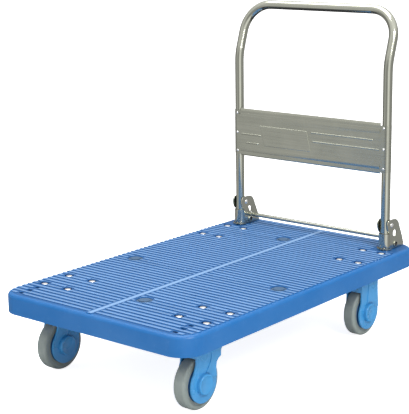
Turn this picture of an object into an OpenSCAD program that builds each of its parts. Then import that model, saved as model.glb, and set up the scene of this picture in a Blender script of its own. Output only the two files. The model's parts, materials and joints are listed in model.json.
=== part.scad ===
// Platform cart: moulded resin deck on two swivel and two rigid casters, with a tube handle
// that folds forward over the deck. Millimetres, +Z up, floor at z = 0, +Y toward the handle.

/* [Deck] */
// Deck width across the cart
deck_w = 610; // [500:2:760]
// Deck length along the cart
deck_l = 1000; // [800:2:1300]
// Height of the skirt that hangs round the deck
deck_skirt = 51.5; // [44:0.5:60]
// Corner radius of the deck seen from above
deck_corner = 58; // [40:1:80]
// Rounding along the top edge of the deck
deck_edge = 10; // [6:0.5:14]
// Thickness of the skirt
skirt_t = 5; // [4:0.5:7]
// Thickness of the deck's top plate under the tread ribs
plate_t = 5.4; // [4.6:0.2:8]
// Distance from one tread rib to the next
rib_pitch = 17.6; // [14:0.2:24]
// Width of one tread rib
rib_w = 8.8; // [6:0.2:10]
// Height of the tread ribs
rib_h = 1.6; // [1:0.2:2.4]
// Width of the plain strip along the middle
strip_w = 15; // [10:1:24]
// Diameter of the round inserts in the deck
insert_d = 40; // [30:1:50]

/* [Casters] */
// Wheel diameter over the tyre
wheel_d = 130; // [120:1:160]
// Tyre width
tyre_w = 31; // [27:1:33]
// Distance from the cart's middle plane to a swivel caster
swivel_x = 225; // [180:1:300]
// Distance from the front edge of the deck to the swivel axes
swivel_inset = 164; // [140:1:220]
// How far the swivel wheels trail from their swivel axes
trail = 38; // [32:1:42]
// Distance from the cart's middle plane to a rigid caster
rigid_x = 240; // [180:1:310]
// Distance from the rear edge of the deck to the rigid axles
rigid_inset = 188; // [160:1:260]
// Diameter of the wheel axles
axle_d = 12; // [10:0.5:13]

/* [Handle] */
// Height of the top of the handle above the floor
handle_h = 878; // [800:1:1060]
// Outside diameter of the handle tube
tube_d = 25.4; // [22:0.1:27]
// Wall thickness of the handle tube
tube_wall = 1.5; // [1.2:0.1:2.5]
// Distance from the side edge of the deck to a handle leg
leg_inset = 54.8; // [50:0.2:90]
// Distance from the rear edge of the deck to the handle legs
leg_back = 87; // [80:1:120]
// Angle by which the top of the handle leans back
lean = 18.3; // [8:0.1:24]
// Height from the lean's bend up to the handle's top
lean_drop = 154; // [130:1:180]
// Bend radius where the legs start to lean
kink_r = 130; // [90:5:160]
// Bend radius of the two top corners
corner_r = 80; // [60:1:90]

/* [Back panel] */
// Height of the panel's lower edge above the deck
panel_low = 210; // [190:1:230]
// Height of the panel
panel_h = 139; // [120:1:160]
// Thickness of the panel sheet
sheet_t = 1.2; // [1:0.1:1.6]

/* [Brackets] */
// Thickness of the bracket sheet
ear_t = 2.6; // [2:0.1:3]
// Diameter of the hinge pins
hinge_pin_d = 10; // [8:0.5:11]
// Diameter of the release rod
rod_d = 11.5; // [9:0.5:12]

/* [Hidden] */
$fn = 64;
loose = 0.1;        // gap round a fixed fastener
run = 0.05;         // radial gap of a running fit
cut = 1;            // how far a cutter runs past a face

deck_top = wheel_d + 89;
tread_z = deck_top - rib_h;
skirt_z = deck_top - deck_skirt;
under_z = tread_z - plate_t;
plate_z = wheel_d + 45;        // underside of the deck's caster pads
wheel_r = wheel_d / 2;

insert_sink = 3;      // depth of an insert's seat under the tread
insert_step = 5.4;    // width of an insert's low rim

// Caster bolts: half spacings of the two patterns, bolt and nut sizes
bolt_r = 4;
bolt_head_r = 8;
bolt_head_h = 3.6;
bolt_sink = 3.4;
nut_r = 7.5;
nut_h = 6.5;
washer_r = 8.5;
washer_t = 1.6;
swivel_bolt_x = 41;
swivel_bolt_y = 43.5;
rigid_bolt_x = 29.5;
rigid_bolt_y = 58;
pad_rim = 13;

swivel_y = -deck_l / 2 + swivel_inset;
rigid_y = deck_l / 2 - rigid_inset;
pad_back = 2;                          // swivel casters: bolt pattern inboard of the kingpin
swivel_pad_x = swivel_x - pad_back;
flange_back = 4;                       // rigid casters: bolt pattern inboard of the wheel
rigid_pad_x = rigid_x - flange_back;
top_plate_t = 4;
flange_t = 6;

// Fork: cheek faces from the wheel's middle plane, and the round end's size
cheek_in = 21;
cheek_out = 24.8;
cheek_r = 46.5;
relief_t = 1.8;
cap_r = 25.5;
cap_out = 34.5;
cap_bevel = 3;
cap_moat = 2;       // groove round the cap in the cheek's raised part
arch_r = wheel_r + 5.5;
crown_z = 85 + (wheel_d - 130) / 2;   // top of the front fork's arms above the axle
axle_r = axle_d / 2;
hub_r = 13;
core_r = 46;

// Swivel head
head_r = 38;
race_r = 40.5;
king_r = 8;
ball_z = wheel_d + 30;
race_z = wheel_d + 33;

// Handle and hinge
tube_r = tube_d / 2;
leg_x = deck_w / 2 - leg_inset;
leg_y = deck_l / 2 - leg_back;
leg_low = deck_top + 36;
kink_z = handle_h - lean_drop;
kink_t = kink_r * tan(lean / 2);
lean_l = (handle_h - tube_r - kink_z) / cos(lean);
hinge_y = leg_y + 7;
hinge_z = deck_top + 66;
hinge_r = hinge_pin_d / 2;
ear_in = tube_r + 1.7;
ear_out = ear_in + ear_t;
shoe_h = 44;
foot_t = 3;
lip = 5;            // how far the foot's lip stands out round the shoe
window_r = 8.5;
window_y = 22.5;    // window's middle behind the leg
window_z = 41.5;    // centre of the window's lower arc above the deck
dome_r = 7;
dome_h = 3.4;

// Release catch: pin position and the rod's place on the arm
catch_y = leg_y + 27;
catch_z = deck_top + 11;
catch_r = 4;
collar_r = 9.5;
collar_h = 2.6;
rod_r = rod_d / 2;
rod_arm = 14;
rod_rest = 86;      // arm angle at rest, from +Y up
rod_swing = 40;     // how far the arm swings to the rear
slot_gap = 0.55;

// Back panel
panel_z = deck_top + panel_low;
panel_gap = 0.1;
panel_y = leg_y - tube_r - panel_gap - sheet_t;
band = 21;
crease = 2;
turn_back = 3.5;
panel_flat = leg_x - tube_r - 0.5;
bead_h = 1.6;
bead_w = 4.4;
rivet_r = 2;
rivet_head_r = 3.6;
rivet_head_h = 1.6;
rivet_x = leg_x - 1.7;
rivet_z = [14, 68, 125];

// ---------- helpers ----------

// Draws its children at both sides of the middle plane, the left one mirrored.
module both_sides() {
    children();
    mirror([1, 0, 0]) children();
}

// side is 1 for the right (+X) and -1 for the left.
module on_side(side) {
    if (side > 0) children();
    else mirror([1, 0, 0]) children();
}

// Extrudes a (Y, Z) outline along X from x0 to x1.
module along_x(x0, x1) {
    translate([x0, 0, 0])
        rotate([90, 0, 90])
            linear_extrude(x1 - x0) children();
}

// A cylinder lying along X from x0 to x1.
module rod_x(x0, x1, r) {
    translate([x0, 0, 0]) rotate([0, 90, 0]) cylinder(r = r, h = x1 - x0);
}

// Four places of a rectangular bolt pattern about the origin.
module at_four(dx, dy) {
    for (sx = [-1, 1]) {
        for (sy = [-1, 1]) {
            translate([sx * dx, sy * dy, 0]) children();
        }
    }
}

// A round-ended slot, length along X, standing from z = 0 up.
module slot(length, width, h) {
    for (s = [-1, 1]) {
        translate([s * (length - width) / 2, 0, 0]) cylinder(d = width, h = h);
    }
    translate([-(length - width) / 2, -width / 2, 0]) cube([length - width, width, h]);
}

// ---------- deck ----------

// Section of the deck's rim, running outward along X from the corner's centre.
module rim_section(r, edge, h) {
    square([r - edge, h]);
    if (edge > 0) {
        square([r, h - edge]);
        translate([r - edge, h - edge])
            intersection() {
                circle(r = edge);
                square(edge);
            }
    }
}

// A block with round corners and, when edge is over 0, a round top edge.
module rounded_block(w, l, r, edge, h) {
    cx = w / 2 - r;
    cy = l / 2 - r;
    for (q = [0:3]) {
        sx = (q == 0 || q == 3) ? 1 : -1;
        sy = (q < 2) ? 1 : -1;
        translate([sx * cx, sy * cy, 0])
            rotate([0, 0, q * 90])
                rotate_extrude(angle = 90) rim_section(r, edge, h);
    }
    for (s = [0, 180]) {
        rotate([0, 0, s])
            translate([cx, cy, 0])
                rotate([90, 0, 0]) linear_extrude(2 * cy) rim_section(r, edge, h);
        rotate([0, 0, s + 90])
            translate([cy, cx, 0])
                rotate([90, 0, 0]) linear_extrude(2 * cx) rim_section(r, edge, h);
    }
    translate([-cx, -cy, 0]) cube([2 * cx, 2 * cy, h]);
}

module plain_block(w, l, h) {
    translate([-w / 2, -l / 2, 0]) cube([w, l, h]);
}

// Half the length of a tread rib at distance y, so that it stays on the flat of the deck.
function rib_half(y) =
    let (inset = deck_edge - 1)
    let (r = deck_corner - inset)
    let (over = max(0, abs(y) + rib_w / 2 - (deck_l / 2 - deck_corner)))
    deck_w / 2 - deck_corner + sqrt(max(0, r * r - over * over));

module tread() {
    ribs = floor((deck_l / 2 - deck_edge) / rib_pitch);
    difference() {
        union() {
            for (i = [-ribs:ribs]) {
                half = rib_half(i * rib_pitch);
                translate([-half, i * rib_pitch - rib_w / 2]) square([2 * half, rib_w]);
            }
        }
        // plain ground round the two handle brackets
        for (s = [-1, 1]) {
            translate([s * (leg_x + 15) - 45, leg_y - 30]) square([90, 130]);
        }
        translate([-strip_w / 2 - 3, -deck_l / 2 + 8]) square([strip_w + 6, deck_l - 38]);
        // room round inserts, drain slots and bolts
        for (p = insert_at()) translate(p) circle(d = insert_d + 8);
        at_drains() translate([-10.5, -11]) square([21, 17]);
        for (s = [-1, 1]) {
            translate([s * swivel_pad_x, swivel_y])
                at_four(swivel_bolt_x, swivel_bolt_y) square([30, 24], center = true);
            translate([s * rigid_pad_x, rigid_y])
                at_four(rigid_bolt_x, rigid_bolt_y) square([30, 24], center = true);
        }
    }
    translate([-strip_w / 2, -deck_l / 2 + 8]) square([strip_w, deck_l - 38]);
}

function insert_at() = [
    [-deck_w / 2 + 66, -66], [deck_w / 2 - 66, -66],
    [35, -deck_l / 2 + 165], [-38, deck_l / 2 - 164],
];

// Places of the drain slots in the two front corners.
module at_drains() {
    for (s = [-1, 1]) {
        for (y = [28, 55.5, 83]) {
            translate([s * (deck_w / 2 - 55), -deck_l / 2 + y]) children();
        }
    }
}

// Pad that takes a caster plate: a floor, four posts and walls up to the deck.
module caster_pad(bx, by) {
    w = 2 * (bx + pad_rim);
    l = 2 * (by + pad_rim);
    h = under_z - plate_z + 0.5;
    plain_block(w, l, 5);
    at_four(bx, by) cylinder(r = bolt_head_r + 3.5, h = h);
    difference() {
        plain_block(w, l, h);
        translate([0, 0, -cut]) plain_block(w - 8, l - 8, h + 2 * cut);
    }
}

module caster_pads() {
    for (s = [-1, 1]) {
        translate([s * swivel_pad_x, swivel_y, plate_z]) caster_pad(swivel_bolt_x, swivel_bolt_y);
        translate([s * rigid_pad_x, rigid_y, plate_z]) caster_pad(rigid_bolt_x, rigid_bolt_y);
    }
}

// Stiffening ribs under the top plate.
module under_ribs() {
    low = skirt_z + 8;
    h = under_z - low + 0.5;
    w = deck_w - 2 * skirt_t;
    l = deck_l - 2 * skirt_t;
    for (x = [-150, -60, 60, 150]) {
        translate([x - 2, -l / 2, low]) cube([4, l, h]);
    }
    for (y = [-4:4]) {
        translate([-w / 2, y * deck_l / 10 - 2, low]) cube([w, 4, h]);
    }
}

module at_bracket_bolts() {
    for (y = [leg_y, leg_y + 57]) {
        translate([leg_x, y, 0]) children();
    }
}

bracket_pad_z = deck_top - 30;

module bracket_pads() {
    translate([leg_x - 22, leg_y - 16, bracket_pad_z]) cube([44, 88, under_z - bracket_pad_z + 0.5]);
}

// Everything that is cut from the deck at one caster: slotted sinks, holes and a rivet well.
module caster_cuts(bx, by) {
    at_four(bx, by) {
        translate([0, 0, plate_z - cut]) cylinder(r = bolt_r + loose, h = deck_skirt + 2 * cut);
        translate([0, 0, tread_z - bolt_sink]) slot(26, 18, bolt_sink + rib_h + cut);
    }
    translate([0, 0, plate_z - cut]) cylinder(r = 16, h = 5 + 2 * cut);
}

module deck() {
    color("royalblue")
    difference() {
        union() {
            difference() {
                translate([0, 0, skirt_z])
                    rounded_block(deck_w, deck_l, deck_corner, deck_edge, tread_z - skirt_z);
                translate([0, 0, skirt_z - cut])
                    rounded_block(deck_w - 2 * skirt_t, deck_l - 2 * skirt_t,
                                  deck_corner - skirt_t, 0, under_z - skirt_z + cut);
            }
            intersection() {
                union() {
                    under_ribs();
                    caster_pads();
                    both_sides() bracket_pads();
                }
                translate([0, 0, skirt_z])
                    rounded_block(deck_w - 2, deck_l - 2, deck_corner - 1, 0, deck_skirt - deck_edge);
            }
            translate([0, 0, tread_z]) linear_extrude(rib_h) tread();
        }
        for (s = [-1, 1]) {
            translate([s * swivel_pad_x, swivel_y, 0]) caster_cuts(swivel_bolt_x, swivel_bolt_y);
            translate([s * rigid_pad_x, rigid_y, 0]) caster_cuts(rigid_bolt_x, rigid_bolt_y);
        }
        at_drains() translate([0, 0, under_z - cut]) slot(15, 8, plate_t + rib_h + 2 * cut);
        both_sides() at_bracket_bolts() {
            translate([0, 0, bracket_pad_z - cut]) cylinder(r = bolt_r + loose, h = 40);
            // room for the nut among the ribs
            translate([0, 0, skirt_z]) cylinder(r = nut_r + 1, h = bracket_pad_z - skirt_z);
        }
        for (p = insert_at()) {
            translate([p[0], p[1], tread_z - insert_sink])
                cylinder(d = insert_d + 2 * loose, h = rib_h + insert_sink + cut);
        }
    }
}

// Round plugs: a low rim and a raised middle just under the tops of the ribs.
module deck_inserts() {
    color("slategray")
    for (p = insert_at()) {
        translate([p[0], p[1], tread_z - insert_sink]) {
            cylinder(d = insert_d, h = insert_sink - 1);
            cylinder(d = insert_d - 2 * insert_step, h = insert_sink + rib_h - 0.2);
        }
    }
}

// ---------- fasteners at the casters ----------

module deck_bolt(tail) {
    z = tread_z - bolt_sink;
    translate([0, 0, z]) {
        cylinder(r = bolt_head_r, h = bolt_head_h - 1);
        translate([0, 0, bolt_head_h - 1])
            cylinder(r1 = bolt_head_r, r2 = bolt_head_r - 2, h = 1);
    }
    translate([0, 0, tail]) cylinder(r = bolt_r, h = z - tail);
}

module swivel_bolts() {
    color("gainsboro")
    for (s = [-1, 1]) {
        translate([s * swivel_pad_x, swivel_y, 0])
            at_four(swivel_bolt_x, swivel_bolt_y) deck_bolt(plate_z - 14.5);
    }
}

module rigid_bolts() {
    color("gainsboro")
    for (s = [-1, 1]) {
        translate([s * rigid_pad_x, rigid_y, 0])
            at_four(rigid_bolt_x, rigid_bolt_y) deck_bolt(plate_z - 16.5);
    }
}

// A ring such as a washer, or a nut when fn is 6, with its hole.
module ring(r, hole, h, fn) {
    difference() {
        cylinder(r = r, h = h, $fn = fn);
        translate([0, 0, -cut]) cylinder(r = hole, h = h + 2 * cut);
    }
}

module under_casters(drop_swivel, drop_rigid) {
    for (s = [-1, 1]) {
        translate([s * swivel_pad_x, swivel_y, plate_z - drop_swivel])
            at_four(swivel_bolt_x, swivel_bolt_y) children();
        translate([s * rigid_pad_x, rigid_y, plate_z - drop_rigid])
            at_four(rigid_bolt_x, rigid_bolt_y) children();
    }
}

module caster_washers() {
    color("silver")
    under_casters(top_plate_t + washer_t, flange_t + washer_t)
        ring(washer_r, bolt_r + loose, washer_t, 64);
}

module caster_nuts() {
    color("silver")
    under_casters(top_plate_t + washer_t + nut_h, flange_t + washer_t + nut_h)
        ring(nut_r, bolt_r + loose, nut_h, 6);
}

// ---------- swivel casters ----------

// Top plate with the bearing cup under it.
module swivel_plate() {
    translate([swivel_pad_x, swivel_y, plate_z - top_plate_t])
    difference() {
        union() {
            plain_block(2 * (swivel_bolt_x + pad_rim - 1), 2 * (swivel_bolt_y + pad_rim - 1), top_plate_t);
            translate([pad_back, 0, race_z - plate_z + top_plate_t])
                cylinder(r = race_r + 1.5, h = plate_z - top_plate_t - race_z + 0.5);
            translate([pad_back, 0, race_z - plate_z + top_plate_t - 6])
                ring(race_r + 1.5, race_r - 1, 6.5, 64);
        }
        at_four(swivel_bolt_x, swivel_bolt_y)
            translate([0, 0, -cut]) cylinder(r = bolt_r + loose, h = top_plate_t + 2 * cut);
        translate([pad_back, 0, -30]) cylinder(r = king_r + loose, h = 60);
    }
}

module swivel_plate_l() {
    color("lightsteelblue") mirror([1, 0, 0]) swivel_plate();
}

module swivel_plate_r() {
    color("lightsteelblue") swivel_plate();
}

// Kingpins: headed below the fork, riveted over above the plate.
module kingpins() {
    color("silver")
    for (s = [-1, 1]) {
        translate([s * swivel_x, swivel_y, 0]) {
            translate([0, 0, wheel_d + 1]) cylinder(r = 12, h = 6.6);
            translate([0, 0, wheel_d + 7.6]) cylinder(r = king_r, h = plate_z - wheel_d - 7.6);
            translate([0, 0, plate_z]) cylinder(r1 = 12, r2 = 9, h = 4);
        }
    }
}

module ball_ring() {
    translate([swivel_x, swivel_y, ball_z]) ring(34, 12, race_z - ball_z, 64);
}

module ball_ring_l() {
    color("dimgray") mirror([1, 0, 0]) ball_ring();
}

module ball_ring_r() {
    color("dimgray") ball_ring();
}

// Arm outline of the swivel fork, (Y, Z) from the axle; the swivel axis is at y = trail.
module swivel_arm() {
    circle(r = cheek_r);
    polygon([
        [-24, crown_z], [-25, 70], [-27, 51], [-34, 33], [-43, 17], [0, 0], [cheek_r, 4], [45, 14],
        [43.5, 28], [46, 42], [53, 49], [trail + 24, 53], [trail + 24.5, crown_z],
    ]);
}

// Where the swivel fork's cheeks are raised: behind a line from the neck down to the cap.
module swivel_raised() {
    polygon([
        [28, crown_z + 1], [28, 61], [24, 48], [17, 38], [8, 27], [-4, 18],
        [10, 10], [70, 5], [trail + 40, crown_z + 1],
    ]);
}

// Two cheeks and the arch over the wheel: the cheek's outline, then its raised part, as children.
module cheeks() {
    for (s = [0, 1]) {
        mirror([s, 0, 0]) along_x(cheek_in, cheek_out) children(0);
        mirror([s, 0, 0]) along_x(cheek_out, cheek_out + relief_t)
            difference() {
                intersection() {
                    children(0);
                    children(1);
                }
                circle(r = cap_r + cap_moat);
            }
    }
    along_x(-cheek_in, cheek_in)
        difference() {
            intersection() {
                children(0);
                translate([-100, 40]) square([200, 100]);
            }
            circle(r = arch_r);
        }
}

module axle_hole() {
    rod_x(-cheek_out - 5, cheek_out + 5, axle_r + loose);
}

module swivel_fork() {
    translate([swivel_x, swivel_y - trail, wheel_r])
    difference() {
        union() {
            cheeks() {
                swivel_arm();
                swivel_raised();
            }
            translate([0, trail, crown_z - 12]) cylinder(r = head_r, h = ball_z - wheel_r - crown_z + 12);
        }
        axle_hole();
        translate([0, trail, 0]) cylinder(r = king_r + run, h = 200);
        translate([0, trail, 0]) cylinder(r = 13, h = wheel_r + 8);
    }
}

module swivel_fork_l() {
    color("dodgerblue") mirror([1, 0, 0]) swivel_fork();
}

module swivel_fork_r() {
    color("dodgerblue") swivel_fork();
}

// Axle bolt: hex head outboard, shank to the nut inboard. Both lie along X about the wheel.
module axle_bolt() {
    rod_x(-cheek_out - 6.5, cheek_out, axle_r);
    translate([cheek_out, 0, 0]) rotate([0, 90, 0]) cylinder(r = 10.5, h = 6, $fn = 6);
}

module axle_nut() {
    translate([-cheek_out - 6.2, 0, 0]) rotate([0, 90, 0]) ring(10.5, axle_r + loose, 6.2, 6);
}

// Round cover over each end of the axle, with a bevelled edge.
module axle_cap() {
    difference() {
        union() {
            rod_x(cheek_out, cap_out - cap_bevel, cap_r);
            translate([cap_out - cap_bevel, 0, 0])
                rotate([0, 90, 0]) cylinder(r1 = cap_r, r2 = cap_r - cap_bevel, h = cap_bevel);
        }
        rod_x(cheek_out - cut, cap_out - 1.5, 14);
    }
}

module axle_caps() {
    axle_cap();
    mirror([1, 0, 0]) axle_cap();
}

module at_swivel_wheel(side) {
    translate([side * swivel_x, swivel_y - trail, wheel_r]) on_side(side) children();
}

module at_rigid_wheel(side) {
    translate([side * rigid_x, rigid_y, wheel_r]) on_side(side) children();
}

module swivel_axle_l() { color("silver") at_swivel_wheel(-1) axle_bolt(); }
module swivel_axle_r() { color("silver") at_swivel_wheel(1) axle_bolt(); }
module swivel_axle_nut_l() { color("silver") at_swivel_wheel(-1) axle_nut(); }
module swivel_axle_nut_r() { color("silver") at_swivel_wheel(1) axle_nut(); }
module swivel_caps_l() { color("dodgerblue") at_swivel_wheel(-1) axle_caps(); }
module swivel_caps_r() { color("dodgerblue") at_swivel_wheel(1) axle_caps(); }

// ---------- rigid casters ----------

module rigid_arm() {
    top = plate_z - flange_t - wheel_r;
    circle(r = cheek_r);
    polygon([
        [-37, top + 0.5], [-35, 76], [-36, 32], [-43, 17], [0, 0], [cheek_r, 4],
        [44.5, 23], [42, 66], [43, top + 0.5],
    ]);
}

// Where the rigid fork's cheeks are raised.
module rigid_raised() {
    polygon([
        [-3, 120], [-3, 76], [-6, 50], [-8, 32], [-14, 22], [-2, 14], [10, 10], [70, 5], [70, 120],
    ]);
}

module rigid_fork() {
    translate([rigid_x, rigid_y, wheel_r])
    difference() {
        union() {
            cheeks() {
                rigid_arm();
                rigid_raised();
            }
            translate([-flange_back, 0, plate_z - flange_t - wheel_r])
                plain_block(2 * (rigid_bolt_x + pad_rim - 1), 2 * (rigid_bolt_y + pad_rim - 1), flange_t);
        }
        axle_hole();
        translate([-flange_back, 0, plate_z - flange_t - wheel_r - cut])
            at_four(rigid_bolt_x, rigid_bolt_y) cylinder(r = bolt_r + loose, h = flange_t + 2 * cut);
        // hollow above the arch, open to the deck
        translate([0, 0, arch_r + 5]) plain_block(2 * cheek_in, 50, 100);
    }
}

module rigid_fork_l() {
    color("dodgerblue") mirror([1, 0, 0]) rigid_fork();
}

module rigid_fork_r() {
    color("dodgerblue") rigid_fork();
}

module rigid_axles() {
    color("silver")
    for (s = [-1, 1]) at_rigid_wheel(s) axle_bolt();
}

module rigid_axle_nuts() {
    color("silver")
    for (s = [-1, 1]) at_rigid_wheel(s) axle_nut();
}

module rigid_caps() {
    color("dodgerblue")
    for (s = [-1, 1]) at_rigid_wheel(s) axle_caps();
}

// ---------- wheels ----------

// Revolves a (radius, X) section about the X axis.
module about_x() {
    rotate([0, 90, 0]) rotate_extrude() children();
}

module tyre() {
    w = tyre_w / 2;
    about_x() polygon([
        [core_r, -w + 1], [core_r, w - 1], [wheel_r - 9, w], [wheel_r - 4, w - 1], [wheel_r, w - 6],
        [wheel_r, -w + 6], [wheel_r - 4, -w + 1], [wheel_r - 9, -w],
    ]);
}

module core() {
    w = tyre_w / 2 - 2.5;
    about_x() polygon([
        [hub_r, -w - 2], [hub_r + 6, -w - 2], [hub_r + 6, -5], [core_r - 8, -5], [core_r - 8, -w],
        [core_r, -w], [core_r, w], [core_r - 8, w], [core_r - 8, 5], [hub_r + 6, 5],
        [hub_r + 6, w + 2], [hub_r, w + 2],
    ]);
}

module bearing() {
    w = tyre_w / 2 - 0.5;
    about_x() polygon([
        [axle_r + run, w - 9], [hub_r, w - 9], [hub_r, w], [axle_r + 3, w],
        [axle_r + 3, cheek_in - 0.4], [axle_r + run, cheek_in - 0.4],
    ]);
}

module bearings() {
    bearing();
    mirror([1, 0, 0]) bearing();
}

module front_tyre_l() { color("darkgray") at_swivel_wheel(-1) tyre(); }
module front_core_l() { color("steelblue") at_swivel_wheel(-1) core(); }
module front_bearings_l() { color("silver") at_swivel_wheel(-1) bearings(); }
module front_tyre_r() { color("darkgray") at_swivel_wheel(1) tyre(); }
module front_core_r() { color("steelblue") at_swivel_wheel(1) core(); }
module front_bearings_r() { color("silver") at_swivel_wheel(1) bearings(); }
module rear_tyre_l() { color("darkgray") at_rigid_wheel(-1) tyre(); }
module rear_core_l() { color("steelblue") at_rigid_wheel(-1) core(); }
module rear_bearings_l() { color("silver") at_rigid_wheel(-1) bearings(); }
module rear_tyre_r() { color("darkgray") at_rigid_wheel(1) tyre(); }
module rear_core_r() { color("steelblue") at_rigid_wheel(1) core(); }
module rear_bearings_r() { color("silver") at_rigid_wheel(1) bearings(); }

// ---------- hinge brackets ----------

// Ear outline, (Y, Z) from the leg's axis at the deck's top.
module ear_outline() {
    polygon([
        [0, foot_t], [0, shoe_h], [-6, shoe_h + 2], [-11, 53], [-14.5, 61], [-15.2, 69], [-13.5, 76], [-9, 81],
        [-3, 82.5], [17, 82.5], [27, 81], [34, 78], [39, 74], [43, 69], [64, 24], [70, 7], [70, foot_t],
    ]);
}

// Window in both ears, upright and round-ended.
module ear_window() {
    z0 = deck_top + window_z;
    rise = 2;
    for (z = [z0, z0 + rise]) {
        translate([0, leg_y + window_y, z]) rod_x(-30, 30, window_r);
    }
    translate([-30, leg_y + window_y - window_r, z0]) cube([60, 2 * window_r, rise]);
}

// Points on an arc about c, from angle a0 to a1 in n steps.
function arc(c, r, a0, a1, n) =
    [for (i = [0:n]) let (a = a0 + (a1 - a0) * i / n) [c[0] + r * cos(a), c[1] + r * sin(a)]];

// Slot along the rod's swing, as a (Y, Z) shape about the catch pin.
module swing_slot() {
    r = rod_r + slot_gap;
    a0 = rod_rest;
    a1 = rod_rest - rod_swing;
    polygon(concat(
        arc([0, 0], rod_arm + r, a0, a1, 8),
        arc([rod_arm * cos(a1), rod_arm * sin(a1)], r, a1 - 12, a1 - 168, 12),
        arc([0, 0], rod_arm - r, a1, a0, 8),
        arc([rod_arm * cos(a0), rod_arm * sin(a0)], r, a0 + 168, a0 + 12, 12)
    ));
}

// Local frame: the leg's axis is at x = 0, y = leg_y.
module bracket() {
    difference() {
        union() {
            // foot plate under the leg, with a lip round the front
            translate([0, leg_y, deck_top])
                difference() {
                    cylinder(r = ear_out + lip, h = foot_t);
                    translate([-50, 0, -cut]) cube([100, 50, foot_t + 2 * cut]);
                    translate([0, 0, 1.4])
                        difference() {
                            cylinder(r = ear_out + lip - 2, h = foot_t);
                            cylinder(r = ear_out - 0.5, h = foot_t);
                        }
                }
            translate([-ear_out, leg_y, deck_top]) cube([2 * ear_out, 70, foot_t]);
            for (s = [0, 1]) {
                mirror([s, 0, 0])
                    along_x(ear_in, ear_out) translate([leg_y, deck_top]) ear_outline();
                mirror([s, 0, 0])
                    translate([0, catch_y, catch_z]) rod_x(ear_out, ear_out + collar_h, collar_r);
            }
            // shoe round the front of the leg
            translate([0, leg_y, deck_top])
                difference() {
                    cylinder(r = ear_out, h = shoe_h);
                    translate([0, 0, foot_t]) cylinder(r = ear_in, h = shoe_h);
                    translate([-50, 0, -cut]) cube([100, 50, shoe_h + 2 * cut]);
                }
        }
        ear_window();
        translate([0, hinge_y, hinge_z]) rod_x(-30, 30, hinge_r + loose);
        translate([0, catch_y, catch_z]) {
            rod_x(-30, 30, catch_r + loose);
            for (s = [0, 1]) mirror([s, 0, 0]) rod_x(ear_out, 30, collar_r - 3.5);
        }
        along_x(-30, -ear_in + 1) translate([catch_y, catch_z]) swing_slot();
        translate([-leg_x, 0, 0]) at_bracket_bolts()
            translate([0, 0, deck_top - cut]) cylinder(r = bolt_r + loose, h = foot_t + 2 * cut);
    }
}

module bracket_l() {
    color("lightgray") mirror([1, 0, 0]) translate([leg_x, 0, 0]) bracket();
}

module bracket_r() {
    color("lightgray") translate([leg_x, 0, 0]) bracket();
}

module bracket_bolts() {
    color("silver")
    both_sides() at_bracket_bolts() {
        translate([0, 0, deck_top + foot_t]) cylinder(r = 7, h = 5, $fn = 6);
        translate([0, 0, bracket_pad_z - 8])
            cylinder(r = bolt_r, h = deck_top + foot_t - bracket_pad_z + 8);
    }
}

module bracket_nuts() {
    color("silver")
    both_sides() at_bracket_bolts()
        translate([0, 0, bracket_pad_z - nut_h]) ring(nut_r, bolt_r + loose, nut_h, 6);
}

// Domed pin head standing on the ear's outer face, in two slopes.
module pin_dome() {
    step = dome_h / 2;
    translate([ear_out, 0, 0])
        rotate([0, 90, 0]) {
            cylinder(r1 = dome_r, r2 = dome_r - 1.4, h = step);
            translate([0, 0, step]) cylinder(r1 = dome_r - 1.4, r2 = dome_r - 4.2, h = step);
        }
}

// Hinge pins: a dome at each end, but the right one's inner end carries the return spring.
module hinge_pins() {
    color("whitesmoke") {
        translate([leg_x, hinge_y, hinge_z]) {
            rod_x(-ear_out - 9, ear_out, hinge_r);
            pin_dome();
            rod_x(-ear_out - 10.5, -ear_out - 9, 7);
        }
        translate([-leg_x, hinge_y, hinge_z]) {
            rod_x(-ear_out, ear_out, hinge_r);
            both_sides() pin_dome();
        }
    }
}

module catch_pins() {
    color("dimgray")
    both_sides()
        translate([leg_x, catch_y, catch_z]) {
            rod_x(-ear_out, ear_out, catch_r);
            for (s = [0, 1]) mirror([s, 0, 0]) rod_x(ear_out, ear_out + 0.8, collar_r - 3.7);
        }
}

spring_wire = 1.2;
spring_r = hinge_r + 0.1 + spring_wire;

// Spring: touching coils on the right hinge pin's inner end, with a leg down toward the rod.
module return_spring() {
    color("dimgray")
    translate([leg_x, hinge_y, hinge_z]) {
        rotate([0, 90, 0])
            rotate_extrude()
                for (i = [0:2]) {
                    translate([spring_r, -ear_out - 2 - i * 2.2]) circle(r = spring_wire);
                }
        translate([-ear_out - 2, spring_r, 0])
            rotate([-167, 0, 0]) cylinder(r = spring_wire - 0.2, h = 31);
        translate([-ear_out - 2 - 4.4, -spring_r, 0])
            rotate([22, 0, 0]) cylinder(r = spring_wire - 0.2, h = 14);
    }
}

// ---------- handle ----------

module tube_section(thin = 0) {
    difference() {
        circle(r = tube_r - thin);
        circle(r = tube_r - tube_wall + thin);
    }
}

// A quarter turn or less of bent tube, starting at +X and turning toward +Y.
module tube_bend(r, angle, thin = 0) {
    rotate_extrude(angle = angle) translate([r, 0]) tube_section(thin);
}

// Each run of the tube starts this far inside the one before it, with its wall this much
// thinner on both faces, so that the joints close cleanly.
entry = 1;
entry_thin = 0.05;

module handle_half() {
    translate([leg_x, leg_y, leg_low]) linear_extrude(kink_z - kink_t - leg_low) tube_section();
    translate([leg_x, leg_y + kink_r, kink_z - kink_t])
        multmatrix([[0, 0, -1, 0], [-1, 0, 0, 0], [0, 1, 0, 0], [0, 0, 0, 1]])
            tube_bend(kink_r, lean);
    translate([leg_x, leg_y, kink_z])
        rotate([-lean, 0, 0]) {
            translate([0, 0, kink_t - entry])
                linear_extrude(lean_l - corner_r - kink_t + entry) tube_section(entry_thin);
            translate([-corner_r, 0, lean_l - corner_r])
                rotate([90, 0, 0]) tube_bend(corner_r, 90, entry_thin);
        }
}

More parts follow.
